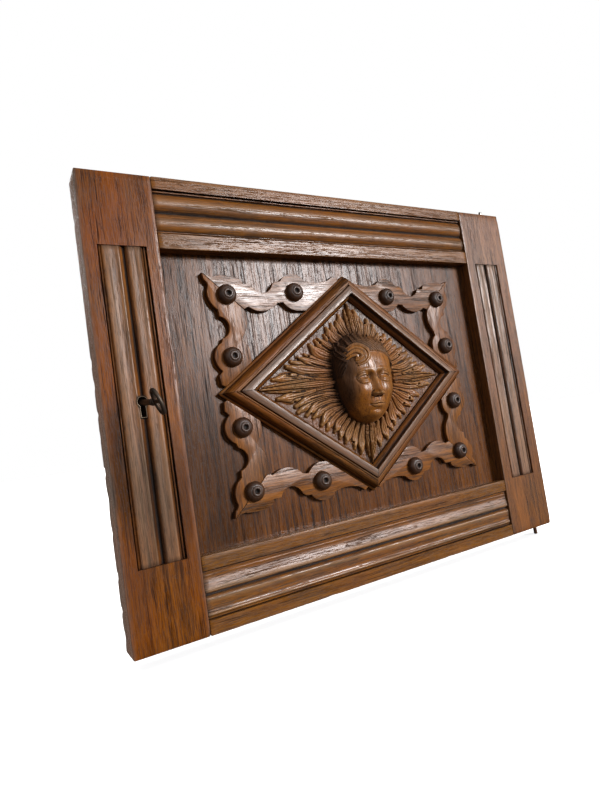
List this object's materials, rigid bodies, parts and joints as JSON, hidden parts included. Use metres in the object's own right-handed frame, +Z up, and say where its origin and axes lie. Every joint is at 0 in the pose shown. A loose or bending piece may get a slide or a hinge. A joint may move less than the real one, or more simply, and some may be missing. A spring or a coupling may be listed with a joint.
{
  "type": "carved cupboard door",
  "caption": "Framed oak cupboard door with reeded mouldings, fretted strapwork, turned bosses and a diamond frame round a mask carved in acanthus leaves; key in its lock, pivot pins.",
  "frame": {"origin": "on the pivot axis at the door's bottom edge, halfway through the frame's thickness", "axes": "+X from the lock edge towards the hinge edge, +Y from the carved front to the back, +Z up along the pivot pins"},
  "size_m": [0.5, 0.0753, 0.4086],
  "materials": {
    "oak_frame": "stained and waxed oak, satin, worn edges",
    "oak_moulding": "stained and waxed oak, polished reeds with dark hollows",
    "oak_field_panel": "dark stained oak, open grain, satin",
    "oak_diamond_bar": "stained and waxed oak, rubbed bright on the flats",
    "oak_strap": "stained oak, satin, dark sawn sides",
    "boss_turned": "nearly black turned wood, glossy",
    "oak_carved": "carved and waxed oak with dark patina in the hollows",
    "iron_dark": "dark worn iron",
    "steel_pin": "worn steel, rusty at the foot"
  },
  "bodies": {
    "door": {"stile_lock": "oak_frame", "stile_hinge": "oak_frame", "rail_top": "oak_frame", "rail_bottom": "oak_frame", "moulding_stile_lock": "oak_moulding", "moulding_stile_hinge": "oak_moulding", "moulding_rail_top": "oak_moulding", "moulding_rail_bottom": "oak_moulding", "field_panel": "oak_field_panel", "diamond_bar_upper_left": "oak_diamond_bar", "diamond_bar_upper_right": "oak_diamond_bar", "diamond_bar_lower_right": "oak_diamond_bar", "diamond_bar_lower_left": "oak_diamond_bar", "strap_upper_left_level": "oak_strap", "strap_upper_left_upright": "oak_strap", "strap_upper_right_level": "oak_strap", "strap_upper_right_upright": "oak_strap", "strap_lower_right_level": "oak_strap", "strap_lower_right_upright": "oak_strap", "strap_lower_left_level": "oak_strap", "strap_lower_left_upright": "oak_strap", "boss_01": "boss_turned", "boss_02": "boss_turned", "boss_03": "boss_turned", "boss_04": "boss_turned", "boss_05": "boss_turned", "boss_06": "boss_turned", "boss_07": "boss_turned", "boss_08": "boss_turned", "boss_09": "boss_turned", "boss_10": "boss_turned", "boss_11": "boss_turned", "boss_12": "boss_turned", "carved_mask_panel": "oak_carved", "lock_case": "iron_dark", "keyhole_liner": "iron_dark", "pivot_pin_bottom": "steel_pin", "pivot_pin_top": "steel_pin"},
    "key": {"key": "iron_dark"}
  },
  "joints": [
    {"name": "key_turn", "type": "hinge", "parent": "door", "child": "key", "pos_m": [-0.4557, -0.0055, 0.1949], "axis": [0.0288, -0.9936, -0.1093], "range_deg": [-21, 339]}
  ]
}
